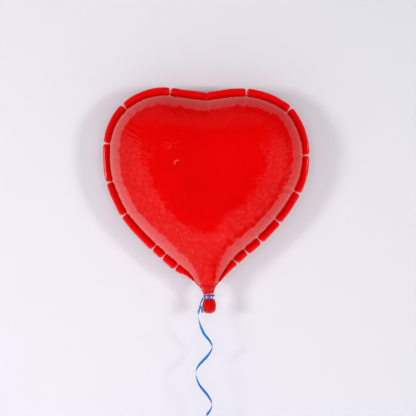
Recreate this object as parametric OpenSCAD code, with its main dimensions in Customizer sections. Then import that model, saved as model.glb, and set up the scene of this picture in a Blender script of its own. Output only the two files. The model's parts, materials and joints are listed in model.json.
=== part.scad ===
// Heart-shaped foil balloon with a puffed rim, a tied neck and a curling ribbon.
// Origin: the back crown, where the balloon touches the wall it is held to.
// The front faces -Y and +Z is up. Millimetres.

/* [Heart] */
// Width across the inner seam
heart_w = 388; // [300:2:480]
// Height of the inner seam, from the neck to the top of the lobes
heart_h = 381; // [300:1:470]
// Depth through the crown, front to back
heart_d = 170; // [120:2:200]
// How the panels leave the seam: 0.45 rises steeply, 0.6 gently
panel_rise = 0.5; // [0.45:0.01:0.6]
// Drawn thickness of the film
film_t = 0.4; // [0.3:0.1:0.8]

/* [Rim] */
// Width of the puffed rim where it runs up and down
rim_w = 12; // [8:0.5:16]
// Extra width of the rim where it runs sideways
rim_extra = 2.5; // [0:0.5:4]
// Thickness of a rim pocket, front to back
rim_t = 11; // [6:0.5:14]
// Pinched gap between two rim pockets
rim_gap = 4; // [3:0.5:6]
// Width of the flat weld outside the seam line
weld_out = 1.5; // [1:0.1:2]
// Width of the flat weld inside the seam line
weld_in = 3; // [2:0.5:4]

/* [Neck and tail] */
// Radius of the gathered neck under the ribbon
neck_r = 9.2; // [8.9:0.1:9.2]
// Largest radius of the tail bulb
bulb_r = 14.5; // [13:0.5:14.5]
// Width of the filling valve inside
valve_w = 26; // [20:1:30]
// How far the valve reaches up into the heart
valve_len = 120; // [80:5:150]

/* [Ribbon] */
// Width of the curling ribbon
ribbon_w = 5; // [4:0.5:5]
// Drawn thickness of the ribbon
ribbon_t = 0.4; // [0.3:0.1:0.5]
// Turns in the wound coil
coil_turns = 6; // [4:1:6]
// Spacing from one turn of the coil to the next
coil_pitch = 2.2; // [2:0.1:2.4]

/* [Hidden] */
RIM_LEFT = [for (i = [1:9]) str("rim_pocket_left_", i)];
RIM_RIGHT = [for (i = [1:9]) str("rim_pocket_right_", i)];

film_red = "red";
ribbon_blue = "royalblue";

// The seam line from the cleft to the neck, as (x, z) at the drawn size
drawn_w = 388;
drawn_h = 381;
seam_right = [
    [-3, 151], [30, 156], [62, 159], [96, 156], [130, 144], [158, 126], [177, 98],
    [189, 62], [190, 24], [182, -13], [162, -52], [135, -89], [102, -124],
    [70, -151], [49, -171], [30, -197], [17, -220]
];
seam_left = [
    [-3, 151], [-37, 155], [-74, 160], [-94, 161], [-124, 155], [-153, 140],
    [-174, 120], [-188, 97], [-196, 70], [-198, 38], [-196, 8], [-186, -29],
    [-165, -73], [-137, -108], [-104, -141], [-60, -180], [-38, -197], [-20, -220]
];
// Where the rim is pinched, as lengths along the drawn seam from the cleft
pinches_right = [0, 80, 169, 264, 339, 407, 459, 494, 524, 578];
pinches_left = [0, 74, 168, 247, 323, 393, 480, 506, 539, 586];

scale_x = heart_w / drawn_w;
scale_z = heart_h / drawn_h;
weld_t = 2 * film_t;
rim_y = -heart_d / 2;
crown_h = heart_d / 2 - film_t;
neck_cut_z = -220 * scale_z;
neck_x = 1;
end_round = 7;

// Catmull-Rom curve through a list of points, n steps to a span
function curve(p, n) = let (last = len(p) - 1) concat(
    [for (i = [0:last - 1], k = [0:n - 1]) let (
        t = k / n,
        a = i == 0 ? 2 * p[0] - p[1] : p[i - 1],
        b = p[i],
        c = p[i + 1],
        d = i == last - 1 ? 2 * p[last] - p[last - 1] : p[i + 2]
    ) (2 * b + (c - a) * t + (2 * a - 5 * b + 4 * c - d) * t * t
        + (3 * b - a - 3 * c + d) * t * t * t) / 2],
    [p[last]]
);

// Running length at each point of a line
function running(p) = [
    for (i = 0, s = 0; i < len(p); s = s + (i + 1 < len(p) ? norm(p[i + 1] - p[i]) : 0), i = i + 1) s
];
function unit(v) = v / norm(v);
function reversed(p) = [for (i = [len(p) - 1:-1:0]) p[i]];

line_right = curve(seam_right, 8);
line_left = curve(seam_left, 8);
run_right = running(line_right);
run_left = running(line_left);
length_right = run_right[len(run_right) - 1];
length_left = run_left[len(run_left) - 1];
x_right = [for (i = [0:len(run_right) - 1]) [run_right[i], line_right[i].x]];
z_right = [for (i = [0:len(run_right) - 1]) [run_right[i], line_right[i].y]];
x_left = [for (i = [0:len(run_left) - 1]) [run_left[i], line_left[i].x]];
z_left = [for (i = [0:len(run_left) - 1]) [run_left[i], line_left[i].y]];

// Point of the seam, at a drawn length from the cleft; side is 1 for right and -1 for left
function seam_at(side, s) = side > 0
    ? [lookup(s, x_right) * scale_x, lookup(s, z_right) * scale_z]
    : [lookup(s, x_left) * scale_x, lookup(s, z_left) * scale_z];
function seam_length(side) = side > 0 ? length_right : length_left;
function pinches(side) = side > 0 ? pinches_right : pinches_left;

// Unit vector that points out of the heart across the seam
function seam_out(side, s) = let (
    d = unit(seam_at(side, min(s + 2, seam_length(side))) - seam_at(side, max(s - 2, 0)))
) side * [-d.y, d.x];

// Lengths at which one pocket is drawn, close together at its round ends
function pocket_stations(side, i) = let (
    a = pinches(side)[i] + rim_gap / 2,
    b = pinches(side)[i + 1] - rim_gap / 2,
    inner = b - a - 2 * end_round,
    n = max(1, round(inner / 15))
) concat(
    [a, a + 0.3 * end_round],
    [for (k = [0:n]) a + end_round + inner * k / n],
    [b - 0.3 * end_round, b]
);
function side_stations(side) = concat(
    [for (i = [0:8], s = pocket_stations(side, i)) s],
    [seam_length(side)]
);

// Smooth distance from a point to the seam: it is the true distance close to a straight
// seam, and has no creases further in. It comes from the integral of 1 / r^3 along the seam.
neck_run = [[11, -240], [10, -300]];
fence = concat(
    curve(seam_right, 3), neck_run,
    [for (p = reversed(neck_run)) [-p.x, p.y]], reversed(curve(seam_left, 3))
);
fence_scaled = [for (p = fence) [p.x * scale_x, p.y * scale_z]];
function span_pull(p, a, b) = let (
    l = norm(b - a),
    u = (b - a) / max(l, 0.001),
    from = (a - p) * u,
    to = from + l,
    off = max(abs(cross(a - p, u)), 0.02)
) l < 0.01 ? 0 : (to / norm([to, off]) - from / norm([from, off])) / (off * off);
function total(v, i = 0, s = 0) = i == len(v) ? s : total(v, i + 1, s + v[i]);
function seam_distance(p) = sqrt(2 / total(
    [for (i = [0:len(fence_scaled) - 2]) span_pull(p, fence_scaled[i], fence_scaled[i + 1])]
));

// Height of a panel above the seam plane. The side view narrows towards the neck, so there
// the distance counts against the distance on the axis at the same height.
function panel_height(p, axis_table, crown_distance) = let (
    axis_part = p.y < 0 ? min(lookup(p.y, axis_table) / crown_distance, 1) : 1,
    depth = crown_h * pow(1 - pow(1 - axis_part, 2.7), 1.5),
    part = min(seam_distance(p) / (crown_distance * axis_part), 1)
) depth * pow(1 - pow(1 - part, 1.75), panel_rise);

// One panel as a thin dome: rings drawn in from the seam to the crown, outer skin and inner
// skin, open where the neck joins it. side is -1 for the front panel and 1 for the back one.
ring_parts = [1, 0.985, 0.955, 0.91, 0.85, 0.76, 0.64, 0.48, 0.3, 0.13];
module panel(side) {
    crown_distance = seam_distance([0, 0]);
    axis_table = [for (z = [-240:10:0]) [z * scale_z, seam_distance([0, z * scale_z])]];
    right = [for (s = side_stations(1)) seam_at(1, s)];
    left = reversed([for (s = side_stations(-1)) seam_at(-1, s)]);
    low_right = right[len(right) - 1];
    low_left = left[0];
    mouth = [for (k = [1:5]) low_right + (low_left - low_right) * k / 6];
    edge = concat(right, mouth, left);
    n = len(edge);
    in_mouth = function (i) i >= len(right) && i < len(right) + len(mouth);
    heights = [
        for (t = ring_parts, i = [0:n - 1])
            t == 1 && !in_mouth(i) ? 0 : panel_height(edge[i] * t, axis_table, crown_distance)
    ];
    inset = [for (p = edge) p * (1 - film_t / norm(p))];
    outer = [for (r = [0:len(ring_parts) - 1], i = [0:n - 1])
        [edge[i].x * ring_parts[r], heights[r * n + i], edge[i].y * ring_parts[r]]];
    inner = [for (r = [0:len(ring_parts) - 1], i = [0:n - 1])
        [inset[i].x * ring_parts[r], max(heights[r * n + i] - film_t, 0),
         (in_mouth(i) ? edge[i].y : inset[i].y) * ring_parts[r]]];
    points = concat(outer, [[0, crown_h, 0]], inner, [[0, crown_h - film_t, 0]]);
    rings = len(ring_parts);
    inner_start = rings * n + 1;
    next = function (i) (i + 1) % n;
    faces = concat(
        [for (r = [0:rings - 2], i = [0:n - 1]) each [
            [r * n + i, r * n + next(i), (r + 1) * n + i],
            [r * n + next(i), (r + 1) * n + next(i), (r + 1) * n + i]]],
        [for (i = [0:n - 1]) [(rings - 1) * n + i, (rings - 1) * n + next(i), rings * n]],
        [for (r = [0:rings - 2], i = [0:n - 1]) let (o = inner_start) each [
            [o + r * n + next(i), o + r * n + i, o + (r + 1) * n + i],
            [o + (r + 1) * n + next(i), o + r * n + next(i), o + (r + 1) * n + i]]],
        [for (i = [0:n - 1]) let (o = inner_start)
            [o + (rings - 1) * n + next(i), o + (rings - 1) * n + i, o + rings * n]],
        [for (i = [0:n - 1]) each [
            [next(i), i, inner_start + i],
            [next(i), inner_start + i, inner_start + next(i)]]]
    );
    placed = [for (p = points) [p.x, rim_y + side * (film_t + p.y), p.z]];
    color(film_red)
        polyhedron(placed, side > 0 ? [for (f = faces) reversed(f)] : faces);
}

// The flat weld that joins the two panels and carries the rim
module seam_weld() {
    edge = function (side, off) [for (s = side_stations(side)) seam_at(side, s) + off * seam_out(side, s)];
    color(film_red)
        translate([0, rim_y + weld_t / 2, 0])
            rotate([90, 0, 0])
                linear_extrude(weld_t)
                    polygon(concat(
                        reversed(edge(1, weld_out)), edge(-1, weld_out),
                        reversed(edge(-1, -weld_in)), edge(1, -weld_in)));
}

// One puffed pocket of the rim: round in section, round at both ends, flat against the weld
pocket_sides = 10;
module rim_pocket(side, i) {
    stations = pocket_stations(side, i);
    first = stations[0];
    last = stations[len(stations) - 1];
    half = 180 / pocket_sides;
    ring = function (s) let (
        base = seam_at(side, s),
        out = seam_out(side, s),
        to_end = min(s - first, last - s) / end_round,
        round_part = max(sqrt(1 - pow(1 - min(to_end, 1), 2)), 0.35),
        fade = i == 8 ? 1 - 0.75 * (s - first) / (last - first) : 1,
        w = (rim_w + rim_extra * abs(out.y) - weld_out) * round_part * fade,
        r_out = w / (1 + cos(half)),
        r_y = rim_t / 2 * round_part * sqrt(fade)
    ) [for (k = [0:pocket_sides - 1]) let (
        angle = half * (2 * k + 1),
        off = weld_out + r_out * (cos(half) + cos(angle)),
        at = base + off * out
    ) [at.x, rim_y + r_y * sin(angle), at.y]];
    color(film_red)
        loft([for (s = stations) ring(s)], side > 0);
}

// Solid skin over a list of rings, each with the same number of points
module loft(rings, flip = false) {
    n = len(rings[0]);
    m = len(rings);
    faces = concat(
        [[for (k = [0:n - 1]) k]],
        [for (r = [0:m - 2], k = [0:n - 1]) let (j = (k + 1) % n) each [
            [r * n + k, (r + 1) * n + k, (r + 1) * n + j],
            [r * n + k, (r + 1) * n + j, r * n + j]]],
        [[for (k = [n - 1:-1:0]) (m - 1) * n + k]]
    );
    polyhedron([for (r = rings) each r], flip ? [for (f = faces) reversed(f)] : faces);
}

// The neck: an open funnel below the panels that ends in a solid gather of film. The skin
// runs up the inside, over the mouth and down the outside to the flat end of the gather.
neck_sides = 24;
tie_drop = neck_cut_z + 220;
gather_top_z = -241 + tie_drop;
gather_end_z = -250 + tie_drop;
// z, middle x, half width and half depth of each level of the funnel
neck_levels = [
    [neck_cut_z, -1.5 * scale_x, 18.5 * scale_x, 15],
    [-226 + tie_drop, -0.5, 14.8, 12.4],
    [-232 + tie_drop, 0.4, 12, 10.4],
    [-237 + tie_drop, 0.8, 10.2, neck_r]
];
gather_levels = [[gather_top_z, neck_x, neck_r, neck_r], [gather_end_z, neck_x, neck_r, neck_r]];
module neck() {
    oval = function (level, wall) [for (k = [0:neck_sides - 1]) let (a = 360 * k / neck_sides)
        [level[1] + (level[2] - wall) * cos(a), rim_y + (level[3] - wall) * sin(a), level[0]]];
    color(film_red)
        loft(concat(
            [for (l = reversed(neck_levels)) oval(l, film_t)],
            [for (l = concat(neck_levels, gather_levels)) oval(l, 0)]
        ), true);
}

// The tail below the tie: film blown up into a small pear, open at the top
bulb_x = 2.3;
bulb_top = -0.2;
// Radius, and height below the end of the gather
bulb_outline = [
    [neck_r + 0.8, bulb_top], [12.2, -3], [bulb_r - 0.6, -7], [bulb_r, -11.5],
    [bulb_r - 0.5, -16.5], [12.2, -21.5], [8, -25.4], [3.5, -27], [0, -27.3]
];
module tail_bulb() {
    outside = curve(bulb_outline, 3);
    inside = [for (p = reversed(outside)) [max(p.x - film_t, 0), min(p.y + film_t, bulb_top)]];
    color(film_red)
        translate([bulb_x, rim_y, gather_end_z])
            rotate_extrude()
                polygon(concat(outside, inside));
}

// The self-sealing filling valve: two flat films, one on each side of the seam plane
valve_bottom_z = -233 + tie_drop;
valve_foot = 6;
valve_flare = 22;
module valve_film(side) {
    half = valve_w / 2;
    low = valve_bottom_z;
    film_gap = 0.2;
    color("lightgray")
        translate([0.5, rim_y + (side > 0 ? film_gap + film_t : -film_gap), 0])
            rotate([90, 0, 0])
                linear_extrude(film_t)
                    polygon([[-valve_foot, low], [valve_foot, low], [half, low + valve_flare],
                             [half, low + valve_len], [-half, low + valve_len],
                             [-half, low + valve_flare]]);
}

// The ribbon, tied round the gathered neck
wrap_z = -247.5 + tie_drop;
wrap_gap = 0.1;
module ribbon_wrap_lower() {
    color(ribbon_blue)
        translate([neck_x, rim_y, wrap_z])
            difference() {
                cylinder(h = ribbon_w, r = neck_r + wrap_gap + ribbon_t);
                translate([0, 0, -1])
                    cylinder(h = ribbon_w + 2, r = neck_r + wrap_gap);
            }
}

// The second turn is folded narrow, and climbs over the front of the first one
upper_wrap_r = neck_r + 1;
upper_wrap_w = 2;
upper_wrap_rise = 5;
module ribbon_wrap_upper() {
    steps = 40;
    ring = [for (k = [0:steps - 1]) let (
        a = 360 * k / steps,
        z = wrap_z + 4.2 + upper_wrap_rise * pow(max(-sin(a), 0), 1.5)
    ) each [for (c = [[0, 0], [ribbon_t, 0], [ribbon_t, upper_wrap_w], [0, upper_wrap_w]])
        [neck_x + (upper_wrap_r + c.x) * cos(a), rim_y + (upper_wrap_r + c.x) * sin(a), z + c.y]]];
    faces = [for (k = [0:steps - 1], c = [0:3]) let (
        j = (k + 1) % steps,
        d = (c + 1) % 4
    ) each [[4 * k + c, 4 * k + d, 4 * j + d], [4 * k + c, 4 * j + d, 4 * j + c]]];
    color(ribbon_blue)
        polyhedron(ring, faces);
}

// A strip or a tube swept along a route. across lies in the X-Z plane and deep runs along Y.
module sweep(route, across, deep, sides) {
    last = len(route) - 1;
    ring = function (i) let (
        t = unit(route[min(i + 1, last)] - route[max(i - 1, 0)]),
        u = unit(cross([0, 1, 0], t)),
        v = cross(t, u)
    ) [for (k = [0:sides - 1]) let (a = 360 * (k + 0.5) / sides, grow = sides == 4 ? sqrt(2) : 1)
        route[i] + u * (across / 2 * grow * cos(a)) + v * (deep / 2 * grow * sin(a))];
    loft([for (i = [0:last]) ring(i)]);
}

// Routes of the ribbon are written for the drawn size, and follow the neck and the rim
drawn_rim_y = -85;
function lowered(route) = [for (p = route) p + [0, rim_y - drawn_rim_y, tie_drop]];
lead_route = [[-9.6, -88.5, -246], [-11, -89.5, -250], [-13.2, -90, -256], [-15, -90, -260.2]];
knot_at = [-15.6, -90, -263];
knot_r = 2.4;
module ribbon_lead() {
    color(ribbon_blue)
        sweep(curve(lowered(lead_route), 3), ribbon_t, ribbon_w, 4);
}
module ribbon_knot() {
    color(ribbon_blue)
        translate(lowered([knot_at])[0])
            sphere(r = knot_r);
}

// The two cut ends of the knot, which open like an upturned V
end_w = 4;
end_left_route = [[-15.8, -92.8, -263.4], [-16.8, -92.8, -267.5], [-19.6, -92.8, -275]];
end_right_route = [[-14.2, -93.4, -264.2], [-12.6, -93.4, -268.5], [-10.6, -93.4, -275]];
module ribbon_end(route) {
    color(ribbon_blue)
        sweep(curve(lowered(route), 3), end_w, ribbon_t, 4);
}

// The long tail: straight out of the knot, then a loose wave, then down to the coil
tail_route = [
    [-16.2, -89.5, -265.8], [-18.2, -89, -272], [-19.5, -89, -279], [-19, -90, -286],
    [-16.5, -96, -296], [-13, -102, -305], [-7, -105.5, -317], [2, -103, -328],
    [7.5, -96.5, -338], [9, -90, -344], [6.5, -82, -351], [0.5, -76, -361],
    [-9.5, -73.5, -372], [-18, -77.5, -381], [-23, -84.5, -389], [-24, -91, -397],
    [-23, -97, -404], [-18, -103.5, -416], [-10.5, -106, -426], [-3, -105, -435],
    [4, -99.5, -446], [7.5, -93.5, -454], [8, -87.5, -461], [5, -82, -470],
    [-1, -79, -479], [-6, -82, -488], [-7.5, -87, -496], [-7, -90, -504]
];
bend_r = 12;
coil_top = [-7 - bend_r, -90, -504 - bend_r];
coil_outer_r = 33;
coil_at = coil_top - [0, 0, coil_outer_r];
module ribbon_tail() {
    bend = [for (a = [20:20:80]) coil_top + [bend_r * cos(a), 0, bend_r * (1 - sin(a))]];
    color(ribbon_blue)
        sweep(lowered(concat(curve(tail_route, 2), bend)), ribbon_w, ribbon_w, 8);
}

// The rest of the ribbon, wound flat in one plane
coil_inner_r = coil_outer_r - coil_turns * coil_pitch;
coil_margin = 0.5;
module ribbon_coil() {
    color(ribbon_blue)
        translate(lowered([coil_at])[0])
            rotate([90, 0, 0])
                rotate_extrude()
                    translate([coil_inner_r - coil_margin, -ribbon_w / 2])
                        square([coil_outer_r - coil_inner_r + 2 * coil_margin, ribbon_w]);
}

// The tie that holds the coil, a band round its turns at the upper left
tie_w = 4;
tie_t = 0.6;
tie_gap = 0.3;
tie_angle = 130;
module coil_tie() {
    depth = coil_outer_r - coil_inner_r + 2 * coil_margin + 2 * tie_gap;
    middle = (coil_outer_r + coil_inner_r) / 2;
    bow = 0.4;
    color("white")
        translate(lowered([coil_at])[0])
            rotate([0, -tie_angle, 0])
                translate([middle, 0, 0])
                    difference() {
                        cube([depth + 2 * (tie_t + bow), ribbon_w + 2 * (tie_gap + tie_t), tie_w], center = true);
                        cube([depth + 2 * bow, ribbon_w + 2 * tie_gap, tie_w + 2], center = true);
                    }
}

panel(-1);  // front_panel
panel(1);  // back_panel
seam_weld();
for (i = [0:8]) {
    rim_pocket(-1, i);
    rim_pocket(1, i);
}
neck();
tail_bulb();
valve_film(-1);  // valve_film_front
valve_film(1);  // valve_film_back
ribbon_wrap_lower();
ribbon_wrap_upper();
ribbon_lead();
ribbon_knot();
ribbon_end(end_left_route);  // ribbon_end_left
ribbon_end(end_right_route);  // ribbon_end_right
ribbon_tail();
ribbon_coil();
coil_tie();
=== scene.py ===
# %% [markdown]
# # A heart-shaped foil balloon on a wall
# Two panels of glossy red film are welded along a heart-shaped seam and blown up. A row of
# small pouches runs round the seam, the neck is gathered and tied with a blue ribbon, and the
# spare ribbon hangs down in a loose wave. Everything is in metres, in the frame of the packed
# model: the wall is the plane y = 0, the front faces -Y and +Z is up.

# %% Load the frame
import json
import math

import bmesh
import bpy
import numpy as np
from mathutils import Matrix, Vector

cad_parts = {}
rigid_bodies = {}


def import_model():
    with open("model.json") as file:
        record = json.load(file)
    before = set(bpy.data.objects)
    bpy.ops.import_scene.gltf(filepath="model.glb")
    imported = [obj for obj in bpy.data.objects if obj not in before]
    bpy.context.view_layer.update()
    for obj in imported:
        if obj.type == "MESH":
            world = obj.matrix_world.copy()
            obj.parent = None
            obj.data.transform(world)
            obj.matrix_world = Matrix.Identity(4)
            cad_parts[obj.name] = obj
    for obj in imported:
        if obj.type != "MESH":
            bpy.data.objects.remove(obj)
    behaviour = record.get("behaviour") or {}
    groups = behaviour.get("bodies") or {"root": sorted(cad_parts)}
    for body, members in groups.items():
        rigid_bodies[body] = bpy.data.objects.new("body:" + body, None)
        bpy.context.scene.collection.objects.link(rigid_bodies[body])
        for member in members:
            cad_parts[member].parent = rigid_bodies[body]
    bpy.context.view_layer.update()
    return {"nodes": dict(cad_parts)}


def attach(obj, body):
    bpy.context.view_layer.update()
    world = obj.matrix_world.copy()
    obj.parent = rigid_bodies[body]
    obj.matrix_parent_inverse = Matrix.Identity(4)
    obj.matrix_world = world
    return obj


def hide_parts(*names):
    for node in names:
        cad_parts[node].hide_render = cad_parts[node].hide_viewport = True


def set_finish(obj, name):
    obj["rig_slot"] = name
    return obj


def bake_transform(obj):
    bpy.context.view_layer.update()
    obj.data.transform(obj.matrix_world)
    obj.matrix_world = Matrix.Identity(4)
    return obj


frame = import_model()
nodes = frame["nodes"]
scene = bpy.context.scene
MM = 0.001
RIM_Y = -85.0

# %% [markdown]
# ## Camera
# A balloon on a wall is looked at straight on and from well back, so a long lens keeps its
# outline the same as the flat pattern. The lens is worked out from the width that the view
# takes in at the rim.

# %% Camera
CAMERA_BACK = 3.0
VIEW_WIDTH = 0.832
VIEW_Z = -0.066
camera_data = bpy.data.cameras.new("camera")
camera_data.sensor_width = 36
camera_data.lens = camera_data.sensor_width * CAMERA_BACK / VIEW_WIDTH
camera_data.clip_end = 30
camera = bpy.data.objects.new("camera", camera_data)
camera.location = (0, RIM_Y * MM - CAMERA_BACK, VIEW_Z)
camera.rotation_euler = (math.radians(90), 0, 0)
scene.collection.objects.link(camera)
scene.camera = camera
scene.view_settings.view_transform = "Standard"
print("lens", round(camera_data.lens, 1), "mm")

# %% [markdown]
# ## A smooth line and a loft
# Nearly every piece here is a section carried along a line: a pouch along the seam, a ribbon
# along its wave, a panel from the seam to its crown. So two helpers come first. `curve` draws a
# smooth line through a few points, and `loft` draws one ring with the circle operator, then
# extrudes its edges again and again and puts each new ring in its place. A ring that shrinks
# to one point closes the shape, and an open end is filled.

# %% Smooth line
def curve(points, steps):
    """A Catmull-Rom line through the points, with that many steps to a span."""
    p = np.array(points, float)
    p = np.vstack([2 * p[0] - p[1], p, 2 * p[-1] - p[-2]])
    t = np.arange(steps)[:, None] / steps
    spans = []
    for a, b, c, d in zip(p[:-3], p[1:-2], p[2:-1], p[3:]):
        bend = (2 * a - 5 * b + 4 * c - d) * t**2 + (3 * b - a - 3 * c + d) * t**3
        spans.append((2 * b + (c - a) * t + bend) / 2)
    return np.vstack(spans + [p[-2:-1]])


def running(points):
    """The length run at each point of a line."""
    return np.concatenate([[0], np.cumsum(np.linalg.norm(np.diff(points, axis=0), axis=1))])


def smooth(x):
    """Goes from 0 to 1 with no corner, as x does."""
    x = np.clip(x, 0, 1)
    return x * x * (3 - 2 * x)


# %% Loft
def next_ring(bm, ring, edges):
    """Extrudes a ring's edges once, and gives the new ring in the same order."""
    made = bmesh.ops.extrude_edge_only(bm, edges=edges)["geom"]
    fresh = {g for g in made if isinstance(g, bmesh.types.BMVert)}
    ring = [next(e.other_vert(v) for e in v.link_edges if e.other_vert(v) in fresh) for v in ring]
    edges = [g for g in made if isinstance(g, bmesh.types.BMEdge) and fresh.issuperset(g.verts)]
    return ring, edges


def write_uv(bm, place, around, along):
    """A map that follows the surface: u runs round the ring, v from ring to ring."""
    uv = bm.loops.layers.uv.new("surface")
    n = len(around) - 1
    for face in bm.faces:
        spots = [place[loop.vert] for loop in face.loops]
        wraps = {0, n - 1} <= {k for _, k in spots}
        for loop, (i, k) in zip(face.loops, spots):
            loop[uv].uv = (around[n if wraps and k == 0 else k], along[i])


def loft(name, rings, around=None, along=None, filled=True):
    """A closed skin over rings of points, in millimetres."""
    bm = bmesh.new()
    n = len(rings[0])
    ring = bmesh.ops.create_circle(bm, segments=n, radius=1)["verts"]
    edges = bm.edges[:]
    place = {}
    for i, points in enumerate(rings):
        if i:
            ring, edges = next_ring(bm, ring, edges)
        for k, (vert, point) in enumerate(zip(ring, points)):
            vert.co = Vector(point) * MM
            place[vert] = (i, k)
    if around is None:
        around = np.linspace(0, 1, n + 1)
    if along is None:
        along = running(np.mean(rings, axis=1)) * MM
    write_uv(bm, place, around, along)
    bmesh.ops.remove_doubles(bm, verts=bm.verts, dist=1e-7)
    if filled:
        bmesh.ops.holes_fill(bm, edges=[e for e in bm.edges if e.is_boundary], sides=0)
    bmesh.ops.recalc_face_normals(bm, faces=bm.faces)
    return finished(name, bm)


def finished(name, bm, shade=True):
    """Turns a bmesh into an object at the origin."""
    mesh = bpy.data.meshes.new(name)
    bm.to_mesh(mesh)
    bm.free()
    mesh.polygons.foreach_set("use_smooth", [shade] * len(mesh.polygons))
    piece = bpy.data.objects.new(name, mesh)
    scene.collection.objects.link(piece)
    print(f"{name}: {len(mesh.vertices)} points, {len(mesh.polygons)} faces")
    return piece


# %% [markdown]
# ## The curling ribbon
# The ribbon is one flat strip, 5 mm wide, that has been drawn over a blade so that it curls.
# A curled ribbon keeps its flat side towards the axis of its curl: it looks wide where it
# crosses in front and thin at the left and right of each wave. A bevelled curve would turn the
# strip as it likes, so the strip is lofted instead, and each ring is turned to face the
# axis. The spare length is wound in a flat coil of six turns, and a tie holds it.

# %% Ribbon route
RIBBON_W = 5.0
# the wave from the knot down to the bend above the coil, as x, y and z in millimetres
TAIL_POINTS = [
    [-16.2, -89.5, -265.8], [-18.2, -89, -272], [-19.5, -89, -279], [-19, -90, -286],
    [-16.5, -96, -296], [-13, -102, -305], [-7, -105.5, -317], [2, -103, -328],
    [7.5, -96.5, -338], [9, -90, -344], [6.5, -82, -351], [0.5, -76, -361],
    [-9.5, -73.5, -372], [-18, -77.5, -381], [-23, -84.5, -389], [-24, -91, -397],
    [-23, -97, -404], [-18, -103.5, -416], [-10.5, -106, -426], [-3, -105, -435],
    [4, -99.5, -446], [7.5, -93.5, -454], [8, -87.5, -461], [5, -82, -470],
    [-1, -79, -479], [-6, -82, -488], [-7.5, -87, -496], [-7, -90, -504],
]
BEND_R = 12
COIL_TOP = np.array([-19, -90, -516])
COIL_R = 33
COIL_TURNS = 6
COIL_PITCH = 2.2
tail = curve(TAIL_POINTS, 8)
# a quarter bend leads from the tail to the top of the coil
turn = np.radians(np.arange(10, 90, 10))[:, None]
bend = COIL_TOP + BEND_R * np.hstack([np.cos(turn), 0 * turn, 1 - np.sin(turn)])
angle = np.radians(np.arange(0, 360 * COIL_TURNS + 1, 5))[:, None]
coil_middle = COIL_TOP - [0, 0, COIL_R]
coil_r = COIL_R - COIL_PITCH * angle / (2 * np.pi)
coil_out = np.hstack([-np.sin(angle), 0 * angle, np.cos(angle)])
coil = coil_middle + coil_r * coil_out
ribbon_path = np.vstack([tail, bend, coil])


# %% Strip
def along_line(path):
    """The direction of a line at each of its points."""
    step = np.gradient(path, axis=0)
    return step / np.linalg.norm(step, axis=1)[:, None]


def strip(name, path, face, width, thick):
    """A flat strip along a path. face is the direction that its flat side looks in."""
    forward = along_line(path)
    face = face - (face * forward).sum(1)[:, None] * forward
    face = face / np.linalg.norm(face, axis=1)[:, None]
    across = np.cross(forward, face)
    w, t = np.broadcast_to(width, len(path)) / 2, thick / 2
    section = [(-1, 0), (-0.94, 1), (0.94, 1), (1, 0), (0.94, -1), (-0.94, -1)]
    rings = [
        [p + across[i] * w[i] * a + face[i] * t * b for a, b in section]
        for i, p in enumerate(path)
    ]
    return loft(name, rings)


# %% [markdown]
# The strip faces away from the axis of its curl. Near the knot it is turned by the knot, and
# just above the coil it is turned by the coil, so those two stretches have a face of their own.
# A few passes of averaging then take out the corners between the stretches.

# %% Ribbon
CURL_AXIS = np.array([-8, -90])
TURNED_BY_KNOT = 16
TURNED_BY_COIL = 24
away = tail - np.hstack([np.tile(CURL_AXIS, (len(tail), 1)), tail[:, 2:]])
away[:TURNED_BY_KNOT] = [-0.88, -0.45, 0]
away[-TURNED_BY_COIL:] = [-1, 0, 0]
bend_face = -np.hstack([np.cos(turn), 0 * turn, -np.sin(turn)])
face = np.vstack([away / np.linalg.norm(away, axis=1)[:, None], bend_face, coil_out])
for _ in range(12):
    face[1:-1] = (face[:-2] + face[1:-1] * 2 + face[2:]) / 4
ribbon = strip("curling_ribbon", ribbon_path, face, RIBBON_W, 0.3)
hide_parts("ribbon_tail", "ribbon_coil")
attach(ribbon, "ribbon_hanging")
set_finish(ribbon, "ribbon")

# %% [markdown]
# ## The knot
# Two turns of ribbon go round the neck. The lower one lies flat, and the upper one is folded
# narrow and climbs over the front of it. From the left of the neck both strands run down to a
# small hard knot, and its two cut ends open like an upturned V. A turn round the neck is a
# small section spun through a full circle, and then moved point by point where it climbs.

# %% Turns round the neck
NECK_X = 1.0


def turn_of_ribbon(name, inner, thick, low, high, rise):
    """A band spun round the neck; rise gives how far each point climbs, from its angle."""
    bm = bmesh.new()
    corners = [(inner, low), (inner, high), (inner + thick, high), (inner + thick, low)]
    verts = [bm.verts.new((r, 0, z)) for r, z in corners]
    edges = [bm.edges.new((verts[i], verts[(i + 1) % 4])) for i in range(4)]
    bmesh.ops.spin(
        bm, geom=verts + edges, cent=(0, 0, 0), axis=(0, 0, 1), dvec=(0, 0, 0),
        angle=2 * math.pi, steps=120, use_merge=True, use_duplicate=False,
    )
    bmesh.ops.remove_doubles(bm, verts=bm.verts, dist=1e-5)
    for v in bm.verts:
        a = math.atan2(v.co.y, v.co.x)
        ripple = 0.12 * math.sin(9 * a + v.co.z) + 0.08 * math.sin(17 * a)
        v.co.z += rise(a) + 0.6 * ripple
        v.co.xy *= 1 + ripple / inner
        v.co = Vector((v.co.x + NECK_X, v.co.y + RIM_Y, v.co.z)) * MM
    bmesh.ops.recalc_face_normals(bm, faces=bm.faces)
    piece = finished(name, bm)
    bevel = piece.modifiers.new("soft edges", "BEVEL")
    bevel.width, bevel.segments = 0.08 * MM, 2
    return piece


def climb(a):
    """The upper turn starts low on the left, arches over the front and ends at the right."""
    front = (math.degrees(a) + 180) % 360 / 180
    return np.interp(front, [0, 0.15, 0.35, 0.56, 0.8, 1, 2], [-1, 0.6, 3.5, 4.9, 3.8, 0.8, -1])


low_turn = turn_of_ribbon("ribbon_turn_low", 9.35, 0.3, -247.4, -242.6, lambda a: 0.3 * math.cos(a))
high_turn = turn_of_ribbon("ribbon_turn_high", 10.1, 0.55, -243.4, -241.5, climb)
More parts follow.
